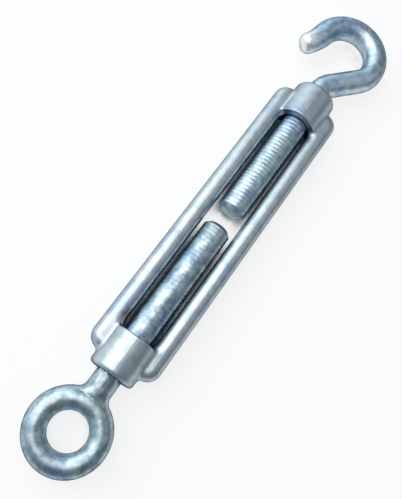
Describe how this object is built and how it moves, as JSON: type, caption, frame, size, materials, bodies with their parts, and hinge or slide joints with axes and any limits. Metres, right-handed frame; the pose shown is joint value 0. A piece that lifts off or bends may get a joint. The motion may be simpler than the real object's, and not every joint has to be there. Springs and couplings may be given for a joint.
{
  "type": "turnbuckle",
  "caption": "Open-body turnbuckle with an eye at one end and a hook at the other, which draws a rope or wire tight when its body is turned.",
  "frame": {"origin": "centre of the eye's hole, halfway through the ring", "axes": "+X along the pull, from the eye to the hook; +Z along the eye's hole, square to the plane of the rails; +Y across the rails, towards the hook's tip"},
  "size_m": [0.1983, 0.0346, 0.016],
  "materials": {
    "body_zinc": "bright zinc plate on forged steel",
    "bolt_zinc": "bright zinc plate on forged and rolled steel"
  },
  "bodies": {
    "frame": {"body": "body_zinc"},
    "eye_end": {"eye_bolt": "bolt_zinc"},
    "hook_end": {"hook_bolt": "bolt_zinc"}
  },
  "joints": [
    {"name": "hook_screw", "type": "slide", "parent": "frame", "child": "hook_end", "axis": [1, 0, 0], "range_m": [-0.003, 0.0425]},
    {"name": "eye_screw", "type": "slide", "parent": "frame", "child": "eye_end", "axis": [-1, 0, 0], "range_m": [-0.003, 0.0425]}
  ],
  "couplings": [
    {"joint": "eye_screw", "follows": "hook_screw", "ratio": 1}
  ]
}
